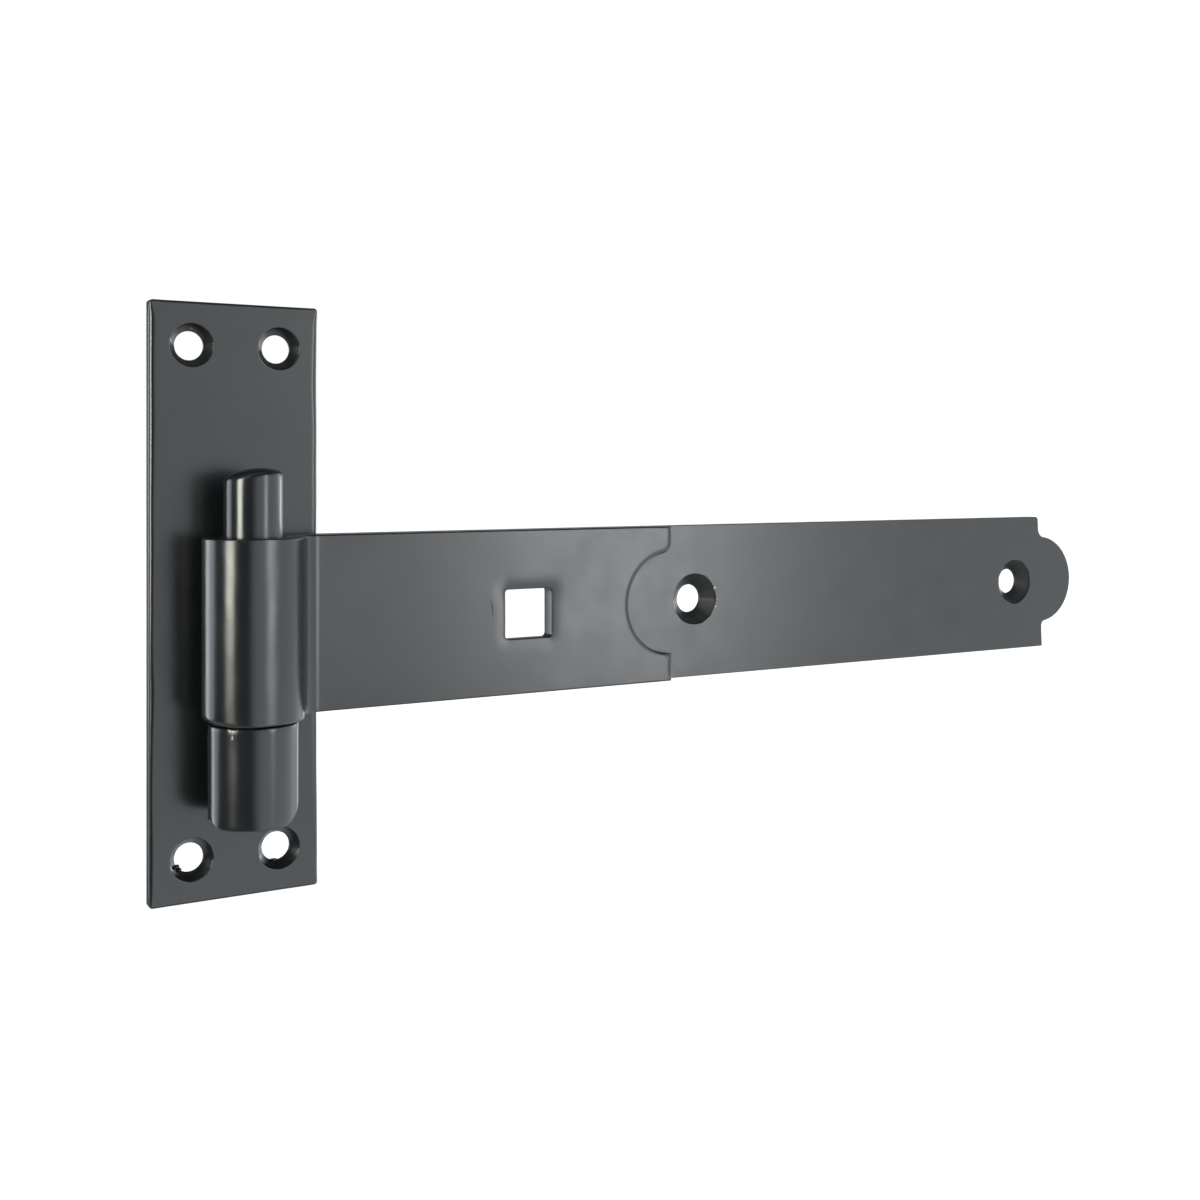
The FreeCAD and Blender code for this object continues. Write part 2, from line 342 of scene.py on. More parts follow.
# Where the coat is knocked off: place and radius in millimetres, and how brown the steel has gone.
BARE_SPOTS = (
    ((-7.2, -22.0, -25.75), 0.9, 0.0),
    ((-6.2, -22.8, -25.8), 1.1, 0.0),
    ((-5.0, -23.6, -25.8), 0.8, 0.0),
    ((-3.9, -24.3, -25.85), 0.6, 0.0),
    ((-6.7, -22.7, -27.6), 1.1, 0.0),
    ((128.0, -8.7, -2.0), 0.9, 0.0),
    ((128.4, -8.7, -4.6), 0.9, 0.0),
    ((128.1, -8.7, -7.2), 0.9, 0.0),
    ((-10.8, -0.6, 60.45), 2.2, 1.0),
    ((-9.6, -0.6, 60.5), 2.2, 1.0),
)
# Balls that take in the band's countersinks, where the powder goes on thin and bakes duller, in millimetres.
DRY_SPOTS = ((121.5, -10.75, -4.8), (240.0, -10.75, -4.8))
DRY_REACH = 7.05


def bare_mask(tree, place, spots):
    """One where the coat is gone near any of the spots, with a broken outline."""
    break_up = add_node(tree, "ShaderNodeTexNoise", inputs={"Vector": place, "Scale": 1 / 0.0005, "Detail": 2.0})
    mask = 0.0
    for centre, radius, _ in spots:
        away = add_node(tree, "ShaderNodeVectorMath", {"operation": "DISTANCE"}, {0: place, 1: Vector(centre) * MM})
        ragged = add_node(tree, "ShaderNodeMath", {"operation": "MULTIPLY_ADD"}, {
            0: break_up.outputs["Fac"], 1: radius * MM * 3.0, 2: away.outputs["Value"],
        })
        spot = add_node(tree, "ShaderNodeMapRange", inputs={
            "Value": ragged.outputs[0], "From Min": radius * MM * 1.75, "From Max": radius * MM * 1.5,
        })
        mask = add_node(tree, "ShaderNodeMath", {"operation": "MAXIMUM"}, {0: mask, 1: spot.outputs["Result"]}).outputs[0]
    return mask


def powder_coated_steel(name, finish, ripple):
    """Semi-gloss black polyester powder on steel, sprayed dry and baked; ripple is the forging's under it."""
    material = bpy.data.materials.new(name)
    material.use_nodes = True
    tree = material.node_tree
    tree.nodes.clear()
    place = add_node(tree, "ShaderNodeTexCoord").outputs["Object"]
    # Orange peel: the baked powder's faint ripple, which makes long highlights waver.
    peel = add_node(tree, "ShaderNodeTexNoise", inputs={
        "Vector": place, "Scale": 1 / finish.peel_size, "Detail": 2.0, "Roughness": 0.45,
    })
    bump = add_node(tree, "ShaderNodeBump", inputs={
        "Height": peel.outputs["Fac"], "Strength": 1.0, "Distance": finish.peel_height,
    })
    # Fine grain of the powder itself, a little coarser than real so that it still shows.
    grain = add_node(tree, "ShaderNodeTexNoise", inputs={"Vector": place, "Scale": 1 / 0.0004, "Detail": 1.0})
    bump = add_node(tree, "ShaderNodeBump", inputs={
        "Height": grain.outputs["Fac"], "Distance": 0.000004, "Normal": bump.outputs["Normal"],
    })
    if ripple:
        # Turned and hammered steel shows through the coat as short level ripples.
        squeezed = add_node(tree, "ShaderNodeMapping", inputs={"Vector": place, "Scale": (0.25, 0.25, 1.0)})
        rings = add_node(tree, "ShaderNodeTexNoise", inputs={
            "Vector": squeezed.outputs["Vector"], "Scale": 1 / 0.0009, "Detail": 2.0,
        })
        bump = add_node(tree, "ShaderNodeBump", inputs={
            "Height": rings.outputs["Fac"], "Distance": ripple, "Normal": bump.outputs["Normal"],
        })
    # Uneven flow in the oven: patches a shade glossier or duller than their neighbours.
    cloud = add_node(tree, "ShaderNodeTexNoise", inputs={
        "Vector": place, "Scale": 1 / 0.009, "Detail": 3.0, "Roughness": 0.55,
    })
    gloss = add_node(tree, "ShaderNodeMapRange", inputs={
        "Value": cloud.outputs["Fac"], "From Min": 0.3, "From Max": 0.7,
        "To Min": finish.roughness - 0.03, "To Max": finish.roughness + 0.03,
    })
    dull = 0.0
    for centre in DRY_SPOTS:
        away = add_node(tree, "ShaderNodeVectorMath", {"operation": "DISTANCE"}, {0: place, 1: Vector(centre) * MM})
        inside = add_node(tree, "ShaderNodeMapRange", inputs={
            "Value": away.outputs["Value"], "From Min": DRY_REACH * MM, "From Max": (DRY_REACH - 0.4) * MM,
        })
        dull = add_node(tree, "ShaderNodeMath", {"operation": "MAXIMUM"}, {0: dull, 1: inside.outputs["Result"]}).outputs[0]
    roughness = add_node(tree, "ShaderNodeMath", {"operation": "MULTIPLY_ADD"}, {
        0: dull, 1: finish.dry_roughness - finish.roughness, 2: gloss.outputs["Result"],
    })
    coat_skin = add_node(tree, "ShaderNodeBsdfPrincipled", inputs={
        "Base Color": linear("#15181A"), "Roughness": roughness.outputs[0], "IOR": 1.5,
        "Normal": bump.outputs["Normal"],
    })
    # Knocks at the boss's rim show bright steel; the old burr in one bore has gone brown.
    rough = add_node(tree, "ShaderNodeTexNoise", inputs={"Vector": place, "Scale": 1 / 0.0004, "Detail": 1.0})
    dents = add_node(tree, "ShaderNodeBump", inputs={"Height": rough.outputs["Fac"], "Distance": 0.0002})
    steel = add_node(tree, "ShaderNodeBsdfPrincipled", inputs={
        "Base Color": linear("#9A9791"), "Metallic": 1.0, "Roughness": 0.45, "Normal": dents.outputs["Normal"],
    })
    rust = add_node(tree, "ShaderNodeBsdfPrincipled", inputs={
        "Base Color": linear("#A5672F"), "Roughness": 0.5, "Normal": dents.outputs["Normal"],
    })
    surface = coat_skin
    for brown, under in ((0.0, steel), (1.0, rust)):
        bare = bare_mask(tree, place, [spot for spot in BARE_SPOTS if spot[2] == brown])
        surface = add_node(tree, "ShaderNodeMixShader", inputs={
            0: bare, 1: surface.outputs[0], 2: under.outputs[0],
        })
    add_node(tree, "ShaderNodeOutputMaterial", inputs={"Surface": surface.outputs[0]})
    return material


def coat(context, name="powder_coated_strip", ripple=0.0):
    """The coat of a piece, made when it is first asked for."""
    return bpy.data.materials.get(name) or powder_coated_steel(name, context.scene.hinge_finish, ripple)


def finish_piece(piece, body, node, material):
    piece.data.materials.append(material)
    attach(piece, body)
    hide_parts(node)


# Sizes that a user may change


def length_property(name, description, millimetres):
    return bpy.props.FloatProperty(name=name, description=description, default=millimetres * MM, unit="LENGTH", precision=5)


class PlateSizes(bpy.types.PropertyGroup):
    width: length_property("Width", "Width of the hook plate", PLATE_HIGH.x - PLATE_LOW.x)
    height: length_property("Height", "Height of the hook plate", PLATE_HIGH.z - PLATE_LOW.z)
    thickness: length_property("Thickness", "Thickness of the hook plate", 3.0)
    corner: length_property("Corner", "Radius of the plate's four corners", 0.8)
    front_edge: length_property("Front edge", "Radius that the coat gives the front edge", 0.9)
    screw_across: length_property("Screws across", "Distance between screw holes from side to side", 20.0)
    screw_apart: length_property("Screws up and down", "Distance between the upper and lower screw holes", 114.5)
    screw_bore: length_property("Screw bore", "Diameter of the screw holes", 6.5)
    screw_head: length_property("Screw head", "Diameter of the countersinks", 9.8)
    screw_slope: bpy.props.FloatProperty(
        name="Screw slope", description="Depth of the countersinks over their width", default=1.5, min=0.3, max=1.6)


class PinSizes(bpy.types.PropertyGroup):
    axis_y: length_property("Axis", "Place of the pin's axis in front of the wall", -15.7)
    diameter: length_property("Pin diameter", "Diameter of the pin", 12.7)
    dome: length_property("Dome", "Radius of the pin's domed top", 15.0)
    crown: length_property("Crown", "How far the top of the dome lies to one side", 1.7)
    rim: length_property("Rim", "Radius between dome and side", 1.0)
    boss_diameter: length_property("Boss diameter", "Diameter of the boss under the eye", 19.3)
    boss_top: length_property("Boss top", "Height of the boss's upper face", -25.5)
    boss_bottom: length_property("Boss bottom", "Height of the boss's cropped foot", -47.4)
    boss_edge: length_property("Boss edge", "Radius of the boss's upper edge", 0.5)
    boss_corner: length_property("Boss corner", "Radius of the foot's corner on the free side", 1.6)
    boss_rollover: length_property("Boss rollover", "Radius of the foot's corner on the band's side", 6.8)
    neck_width: length_property("Neck width", "Width of the neck behind the boss", 12.0)
    neck_height: length_property("Neck height", "Height of the neck behind the boss", 15.0)
    neck_edge: length_property("Neck edge", "Radius along the neck's edges", 1.5)
    tenon: length_property("Tenon", "Diameter of the tenon through the plate", 9.0)
    rivet_head: length_property("Rivet head", "Diameter of the rivet head in the plate's back", 12.0)
    rivet_depth: length_property("Rivet depth", "Depth of the rivet head", 1.5)


class BandSizes(bpy.types.PropertyGroup):
    width: length_property("Width", "Width of the strip", 40.0)
    middle: length_property("Middle", "Height of the strip's centre line", -5.2)
    thickness: length_property("Thickness", "Thickness of the strip", 4.0)
    eye: length_property("Eye", "Inner radius of the eye", 6.95)
    relief: length_property("Relief bend", "Radius of the bend from the eye to the front leaf", 5.5)
    front_reach: length_property("Front leaf", "Reach of the front leaf from the pin's axis", 111.5)
    shoulder_reach: length_property("Shoulder", "Reach of the square shoulder from the pin's axis", 251.2)
    crop: length_property("Crop", "Radius of the tongue and of its hollow", 13.1)
    blend: length_property("Blend", "Radius between tongue and shoulder", 1.5)
    hollow_blend: length_property("Hollow blend", "Radius between the hollow and its upper shoulder", 2.8)
    rollover: length_property("Rollover", "Depth of the rounding of the hollow's front edge", 0.6)
    dish: length_property("Dish", "Width of the dip round the punched bolt hole", 3.0)
    sag: length_property("Sag", "Depth of the dip round the punched bolt hole", 0.1)
    long_edge: length_property("Long edge", "Radius of the strip's outer long edges", 0.45)
    bolt_reach: length_property("Bolt hole", "Distance of the bolt hole from the pin's axis", 69.6)
    bolt_width: length_property("Bolt hole width", "Width of the square bolt hole", 12.7)
    bolt_height: length_property("Bolt hole height", "Height of the square bolt hole", 12.1)
    rear_bolt_width: length_property("Rear opening", "Width of the opening behind the bolt hole", 18.4)
    near_screw: length_property("Near screw", "Distance of the near screw hole from the pin's axis", 121.5)
    far_screw: length_property("Far screw", "Distance of the far screw hole from the pin's axis", 240.0)
    screw_bore: length_property("Screw bore", "Diameter of the band's screw holes", 7.4)
    screw_head: length_property("Screw head", "Diameter of the band's countersinks", 13.5)


class Finish(bpy.types.PropertyGroup):
    roughness: bpy.props.FloatProperty(
        name="Roughness", description="Roughness of the powder coat", default=0.23, min=0.0, max=1.0, subtype="FACTOR")
    dry_roughness: bpy.props.FloatProperty(
        name="Dry roughness", description="Roughness of the thin coat in the band's countersinks", default=0.5,
        min=0.0, max=1.0, subtype="FACTOR")
    peel_size: length_property("Orange peel size", "Distance between the coat's ripples", 1.6)
    peel_height: length_property("Orange peel height", "Height of the coat's ripples", 0.006)


class Stage(bpy.types.PropertyGroup):
    lens: bpy.props.FloatProperty(
        name="Lens", description="Focal length for a 36 mm wide picture", default=43.995, unit="CAMERA")
    turn: bpy.props.FloatProperty(
        name="Camera turn", description="Camera turned to the right from straight ahead",
        default=math.radians(30.774), subtype="ANGLE")


def in_mm(group):
    """The group's lengths in millimetres, by name; a plain ratio stays as it is."""
    sizes = {}
    for key in group.__annotations__:
        is_length = group.bl_rna.properties[key].unit == "LENGTH"
        sizes[key] = getattr(group, key) / (MM if is_length else 1)
    return sizes


# Pieces


class HINGE_OT_plate(bpy.types.Operator):
    """Flat plate with four countersunk screw holes and the rivet's seat"""
    bl_idname = "hinge.plate"
    bl_label = "Hook plate"

    def execute(self, context):
        size = in_mm(context.scene.hinge_plate)
        pin = in_mm(context.scene.hinge_pin)
        thickness = size["thickness"]

        def place(x, z, depth):
            return Vector((x, depth - thickness, z))

        sheet = Sheet(place)
        outline = rectangle_points((0, 0), size["width"], size["height"], size["corner"])
        rims = []
        for point in outline:
            from_corner = size["width"] / 2 - abs(point.x) + size["height"] / 2 - abs(point.y)
            free = min(1.0, max(0.0, (from_corner - 0.8) / 3))
            if abs(point.x) < size["width"] / 2 - 0.01:
                free *= 0.25
            worn = 0.4 * noise.noise((point.x / 8, point.y / 14, 2.0)) + 0.4 * point.y / size["height"]
            front = 0.5 + free * ((1 + worn) * size["front_edge"] - 0.5)
            rims.append(eased_rim(front, 0.15, thickness, 1.0, 0.04 + 0.5 * free, 0.03 * free))
        sheet.add_rim(outline, rims)
        bore, head, slope = size["screw_bore"], size["screw_head"], size["screw_slope"]
        for x in (-size["screw_across"] / 2, size["screw_across"] / 2):
            for z in (-size["screw_apart"] / 2, size["screw_apart"] / 2):
                hole = circle_points((x, z), bore / 2)
                sheet.add_rim(hole, coated_countersink(hole, bore, head, thickness, slope, 0.14, 0.12))
        gap = 0.1
        seat = circle_points((0, (pin["boss_top"] + pin["boss_bottom"]) / 2), pin["tenon"] / 2 + gap)
        flare = (pin["rivet_head"] - pin["tenon"]) / 2
        seat_rim = [(HOLD, 0.0), (0.0, 0.0), (0.0, thickness - pin["rivet_depth"]), (flare, thickness), (flare + HOLD, thickness)]
        sheet.add_rim(seat, [seat_rim] * len(seat))
        sheet.add_face(0, 0.0)
        sheet.add_face(-1, thickness)
        add_bead(sheet, (-12.9, -1.0, -58.9), (0.75, 0.7, 0.5), 0.4)
        add_bead(sheet, (-12.3, -0.9, -59.6), (0.5, 0.6, 0.4))
        add_bead(sheet, (9.3, -0.9, -60.3), (0.8, 0.6, 0.38))
        piece = smooth_mesh("hook_plate_coated", sheet.points, sheet.faces)
        finish_piece(piece, "hook", "hook_plate", coat(context))
        return {"FINISHED"}


class Turning:
    """Points and faces of a piece built from rings, in millimetres."""

    def __init__(self):
        self.points = []
        self.faces = []

    def ring(self, points):
        first = len(self.points)
        self.points += [Vector(point) for point in points]
        return list(range(first, first + len(points)))

    def shell(self, rings):
        """Joins rings in order and closes both ends with a fan."""
        for ring, following in zip(rings, rings[1:]):
            self.faces += ring_faces(ring, following)
        for ring in (rings[0], rings[-1]):
            middle = sum((self.points[i] for i in ring), Vector()) / len(ring)
            hub = self.ring([middle])[0]
            self.faces += [(ring[i], ring[(i + 1) % len(ring)], hub) for i in range(len(ring))]


TURN = [math.radians(a * 3.75) for a in range(96)]


def turned_ring(work, axis_y, radius, height, wave=0.0):
    """A ring round the pin's axis; height is a rule of angle and radius, wave the hammer's marks."""
    points = []
    for a in TURN:
        z = height(a, radius)
        r = radius - wave * (0.5 + 0.5 * noise.noise((radius * math.cos(a) / 4, radius * math.sin(a) / 4, z / 7)))
        points.append((r * math.cos(a), axis_y + r * math.sin(a), z))
    return work.ring(points)


class HINGE_OT_pin(bpy.types.Operator):
    """Pin, boss, neck and rivet as the one forging they are"""
    bl_idname = "hinge.pin"
    bl_label = "Hook pin"

    def execute(self, context):
        size = in_mm(context.scene.hinge_pin)
        plate = in_mm(context.scene.hinge_plate)
        work = Turning()
        self.add_pin(work, size)
        self.add_boss(work, size)
        self.add_neck(work, size, plate["thickness"])
        piece = smooth_mesh("hook_pin_coated", work.points, work.faces)
        finish_piece(piece, "hook", "hook_pin", coat(context, "powder_coated_forging", 0.0000045))
        return {"FINISHED"}

    def add_pin(self, work, size):
        """Straight pin under a low dome whose crown sits to one side, where the shear left it."""
        radius, dome, rim = size["diameter"] / 2, size["dome"], size["rim"]
        crown = Vector((math.cos(math.radians(-30)), math.sin(math.radians(-30)))) * size["crown"]

        def top(a, r):
            away = (Vector((math.cos(a), math.sin(a))) * r - crown).length
            return PIN_HIGH.z - dome + math.sqrt(dome ** 2 - away ** 2)

        reach = radius - rim
        rings = [turned_ring(work, size["axis_y"], reach * s / 8, top) for s in range(1, 9)]
        for t in (0.2, 0.4, 0.6, 0.8, 1.0):
            across = (1 - t) ** 2 * reach + (1 - (1 - t) ** 2) * radius

            def edge(a, r):
                return (1 - t) ** 2 * top(a, reach) + 2 * t * (1 - t) * top(a, radius) + t * t * (top(a, radius) - rim)
            rings.append(turned_ring(work, size["axis_y"], across, edge))
        foot, steps = size["boss_top"] + 0.4, 30
        for s in range(1, steps + 1):
            def side(a, r):
                start = top(a, radius) - rim
                return start + (foot - start) * s / steps
            rings.append(turned_ring(work, size["axis_y"], radius, side))
        work.shell(rings)

    def add_boss(self, work, size):
        """Stout foot, cropped square below and rolled over towards the band."""
        radius = size["boss_diameter"] / 2
        edge, top, bottom = size["boss_edge"], size["boss_top"], size["boss_bottom"]
        corner, roll, lip = size["boss_corner"], size["boss_rollover"], 0.35

        def foot(x):
            for side, round_off in ((1, roll), (-1, corner)):
                past = side * x - (radius - round_off)
                if past > 0:
                    return bottom + round_off - math.sqrt(max(0.0, round_off ** 2 - past ** 2))
            return bottom

        rings = [turned_ring(work, size["axis_y"], r, lambda a, r: top) for r in (2.0, radius - edge - HOLD)]
        for s in range(0, 7):
            a = math.radians(15 * s)
            across, height = radius - edge * (1 - math.sin(a)), top - edge * (1 - math.cos(a))
            rings.append(turned_ring(work, size["axis_y"], across, lambda a, r: height))
        count = 24
        for s in range(1, count + 1):
            def height(a, r):
                low = foot(radius * math.cos(a)) + lip
                high = top - edge
                return high + (low - high) * s / count
            rings.append(turned_ring(work, size["axis_y"], radius, height, 0.06 * min(1.0, s / 4)))
        for s in range(1, 6):
            a = math.radians(18 * s)
            across = radius - lip * (1 - math.cos(a))

            def height(turn, r):
                return foot(radius * math.cos(turn)) + lip * (1 - math.sin(a))
            rings.append(turned_ring(work, size["axis_y"], across, height, 0.06))
        for share in (0.92, 0.85, 0.75, 0.6, 0.4, 0.2):
            rings.append(turned_ring(work, size["axis_y"], radius * share, lambda a, r: foot(r * math.cos(a))))
        work.shell(rings)

    def add_neck(self, work, size, plate):
        """Neck, tenon and the rivet head that is spread flush in the plate's back."""
        middle = (size["boss_top"] + size["boss_bottom"]) / 2
        outline = rectangle_points((0, middle), size["neck_width"], size["neck_height"], size["neck_edge"], 1.0)

        def section(y, grown):
            flats = inset_points(outline, [-grown] * len(outline))
            return work.ring([(flat.x, y, flat.y) for flat in flats])

        back = -plate
        rings = [section(size["axis_y"], 0.0), section(back - 0.6, 0.0)]
        rings += [section(back - 0.3, 0.08), section(back - 0.1, 0.25), section(back, 0.5)]
        work.shell(rings)
        tenon, head = size["tenon"] / 2, size["rivet_head"] / 2
        profile = [(tenon, back), (tenon, -size["rivet_depth"]), (head - 0.1, -0.1), (head - 0.2, 0.0), (head - 0.6, 0.0), (2.0, 0.0)]
        rings = [work.ring([(r * math.cos(a), y, middle + r * math.sin(a)) for a in TURN]) for r, y in profile]
        work.shell(rings)


class Strip:
    """The band's strip laid out flat, and the way it is folded round the pin."""

    def __init__(self, size, axis_y):
        self.size = size
        self.axis = Vector((0.0, axis_y))
        self.thick = size["thickness"]
        self.outer = size["eye"] + self.thick
        self.back_y = axis_y + self.outer
        gap = 0.2
        self.front_y = self.back_y - 2 * self.thick - gap
        relief = size["relief"]
        bend_y = self.front_y - relief
        bend_x = math.sqrt((self.outer + relief) ** 2 - (axis_y - bend_y) ** 2)
        self.bend = Vector((bend_x, bend_y))
        self.turn = math.atan2(bend_y - axis_y, bend_x)
        self.relief_middle = relief + self.thick / 2
        self.eye_middle = self.outer - self.thick / 2
        self.relief_start = size["front_reach"] - bend_x
        self.eye_start = self.relief_start + (math.pi / 2 + self.turn) * self.relief_middle
        self.eye_end = self.eye_start + (1.5 * math.pi + self.turn) * self.eye_middle

    def place(self, along, z, depth):
        """Where a point of the flat strip comes to lie; depth is counted from its outer side."""
        if along <= self.relief_start:
            return Vector((self.size["front_reach"] - along, self.front_y + depth, z))
        if along <= self.eye_start:
            a = math.pi / 2 + (along - self.relief_start) / self.relief_middle
            spoke = Vector((math.cos(a), math.sin(a))) * (self.size["relief"] + depth)
            return (self.bend + spoke).to_3d() + Vector((0, 0, z))
        if along < self.eye_end:
            a = self.turn - (along - self.eye_start) / self.eye_middle
            spot = (self.outer * math.cos(a), self.outer * math.sin(a), z)
            short = self.flattening(a) + 0.03 + hammered(spot, 5.0, 0.03)
            radius = self.outer - depth - short * (1 - depth / self.thick)
            spoke = Vector((math.cos(a), math.sin(a))) * radius
            return (self.axis + spoke).to_3d() + Vector((0, 0, z))
        return Vector((along - self.eye_end, self.back_y - depth, z))

    def flattening(self, angle):
        """How far the eye's outside falls short of round where it was closed with the hammer."""
        across = math.degrees(angle) % 360 - 252.5
        if not -12 < across < 95:
            return 0.0
        share = (across + 12) / 40 if across < 28 else (95 - across) / 67
        return 0.6 * share * share * (3 - 2 * share)

    def leaf(self, x):
        """Place along the flat strip of a distance from the pin's axis on the back leaf."""
        return self.eye_end + x

    def stations(self):
        """Places along the strip that carry a column of points, close together where it bends."""
        stops = [self.relief_start + (self.eye_start - self.relief_start) * s / 18 for s in range(19)]
        stops += [self.eye_start + (self.eye_end - self.eye_start) * s / 66 for s in range(1, 67)]
        return stops


def crop_rise(radius, blend):
    """How far from the tongue's centre line a blend of this radius meets the shoulder."""
    return math.sqrt((radius + blend) ** 2 - blend ** 2)


def crop_points(radius, lower, upper):
    """A tongue's outline from below to above about its own centre, with a blend radius at each end or none."""
    start, end = -90, 90
    first, last = [], []
    if lower:
        start = -math.degrees(math.atan2(crop_rise(radius, lower), lower))
        first = arc_points((lower, -crop_rise(radius, lower)), lower, 180, 180 + start, 15.0)[:-1]
    if upper:
        end = math.degrees(math.atan2(crop_rise(radius, upper), upper))
        last = arc_points((upper, crop_rise(radius, upper)), upper, 180 + end, 180, 15.0)[1:]
    return first + arc_points((0, 0), radius, start, end, 4.0) + last


class HINGE_OT_band(bpy.types.Operator):
    """One strip folded round the pin and cropped to a tongue and its hollow"""
    bl_idname = "hinge.band"
    bl_label = "Band"

    def execute(self, context):
        size = in_mm(context.scene.hinge_band)
        strip = Strip(size, context.scene.hinge_pin.axis_y / MM)
        sheet = Sheet(strip.place)
        self.add_outline(sheet, strip, size)
        self.add_holes(sheet, strip, size)
        low, high = size["middle"] - size["width"] / 2, size["middle"] + size["width"] / 2
        rows = [low + 3.0 + (high - low - 5.0) * s / 16 for s in range(17)]
        for end, depth in ((0, 0.0), (-1, strip.thick)):
            sheet.add_face(end, depth, [[Vector((u, z)) for z in rows] for u in strip.stations()])
        piece = smooth_mesh("band_coated", sheet.points, sheet.faces)
        finish_piece(piece, "band", "band", coat(context))
        return {"FINISHED"}

    def add_outline(self, sheet, strip, size):
        low, high = size["middle"] - size["width"] / 2, size["middle"] + size["width"] / 2
        radius, blend, thick = size["crop"], size["blend"], strip.thick
        hollow_z, tongue_z, lean = size["middle"] + 0.2, size["middle"] + 0.7, math.radians(2.6)
        soft = size["hollow_blend"]
        edge, roll = size["long_edge"], size["rollover"]
        outline, rims = [], []

        def add(points, shape, back):
            for point in points:
                front, *rest = shape(point)
                outline.append(Vector(point))
                rims.append(eased_rim(front, back, thick, *rest))

        def at_tip(x, z):
            spot = Vector((x * math.cos(lean) - z * math.sin(lean), x * math.sin(lean) + z * math.cos(lean)))
            return Vector((strip.leaf(size["shoulder_reach"]) + spot.x, tongue_z + spot.y))

        def shoulder(z):
            return at_tip(0, (z - tongue_z) / math.cos(lean))

        def plain(point):
            return [edge]

        def rolled(point):
            return roll, 1.35, 0.85, 0.05

        def lower_edge(point):
            across = math.degrees(strip.turn - (point.x - strip.eye_start) / strip.eye_middle) % 360
            if not strip.eye_start < point.x < strip.eye_end or abs(across - 180) > 80:
                return [edge]
            return [edge + (2.0 - edge) * math.cos(math.radians((across - 180) * 90 / 80)) ** 2]

        flat_start = line_points((0.0, low), (strip.relief_start, low))
        folded = [Vector((u, low)) for u in strip.stations()]
        flat_end = line_points((strip.eye_end + 2.0, low), shoulder(low))
        add(flat_start + folded + flat_end, lower_edge, 0.15)
        add(line_points(shoulder(low), at_tip(0, -crop_rise(radius, blend)), 1.0), plain, edge)
        add([at_tip(p.x, p.y) for p in crop_points(radius, blend, soft)], plain, edge)
        top_corner = corner_points(at_tip(0, radius + 2), shoulder(high), Vector((strip.leaf(200.0), high)), 1.0)
        add(line_points(at_tip(0, crop_rise(radius, soft) + 0.2), top_corner[0], 1.0), plain, edge)
        add(top_corner, plain, edge)
        flat_end = line_points(top_corner[-1], (strip.eye_end + 2.0, high))[1:] + [Vector((strip.eye_end + 2.0, high))]
        folded = [Vector((u, high)) for u in reversed(strip.stations())]
        flat_start = line_points((strip.relief_start, high), (0.0, high))[1:]
        add(flat_end + folded + flat_start, plain, 0.15)
        add(line_points((0.0, high), (0.0, hollow_z + crop_rise(radius, soft)), 1.0), rolled, 0.12)
        hollow = [Vector((p.x, hollow_z + p.y)) for p in reversed(crop_points(radius, 0, soft))]
        add(hollow, rolled, 0.12)
        add(line_points(hollow[-1], (0.0, low), 1.0)[1:], rolled, 0.12)
        sheet.add_rim(outline, rims)

    def add_holes(self, sheet, strip, size):
        thick, bolt_z = strip.thick, size["middle"] - 0.5
        holes = [
            (size["front_reach"] - size["bolt_reach"], size["bolt_width"], size["bolt_height"], 0.3, size["dish"], size["sag"]),
            (strip.leaf(size["bolt_reach"]), size["rear_bolt_width"], size["rear_bolt_width"], 0.3, 0.04, 0.0),
        ]
        for along, width, height, front, dish, sag in holes:
            hole = list(reversed(rectangle_points((along, bolt_z), width, height, 0.9, 1.0)))
            rims = []
            for point in hole:
                upper = max(0.0, (point.y - bolt_z) / (height / 2)) ** 2
                rims.append(eased_rim(front, 0.12, thick, 1.0, dish * (1 + 0.4 * upper), sag * (1 + 1.2 * upper)))
            sheet.add_rim(hole, rims)
        bore, head = size["screw_bore"], size["screw_head"]
        for reach in (size["near_screw"], size["far_screw"]):
            hole = circle_points((strip.leaf(reach), size["middle"] + 0.4), bore / 2)
            rims = coated_countersink(hole, bore, head, thick, 1.0, 0.12, 0.35)
            sheet.add_rim(hole, [turned_over(rim, thick) for rim in rims])


# Stage


def aimed(azimuth, elevation):
    """Direction from the hinge; azimuth 0 is straight in front, and 90 along the band."""
    a, e = math.radians(azimuth), math.radians(elevation)
    return Vector((math.sin(a) * math.cos(e), -math.cos(a) * math.cos(e), math.sin(e)))


def soft_box(name, azimuth, low, high, spread, brightness, colour, distance=4.0):
    """An area lamp that covers a span of directions, given in degrees, and whose face has a brightness of its own."""
    away = aimed(azimuth, 0)
    rise_low, rise_high = (distance * math.tan(math.radians(e)) for e in (low, high))
    data = bpy.data.lights.new(name, "AREA")
    data.shape = "RECTANGLE"
    data.size = 2 * distance * math.tan(math.radians(spread / 2))
    data.size_y = rise_high - rise_low
    data.energy = brightness * math.pi * data.size * data.size_y
    data.color = linear(colour)[:3]
    lamp = bpy.data.objects.new(name, data)
    lamp.location = away * distance + Vector((0.02, -0.015, (rise_low + rise_high) / 2))
    lamp.rotation_mode = "QUATERNION"
    lamp.rotation_quaternion = (-away).to_track_quat("-Z", "Y")
    lamp.visible_camera = False
    bpy.context.scene.collection.objects.link(lamp)


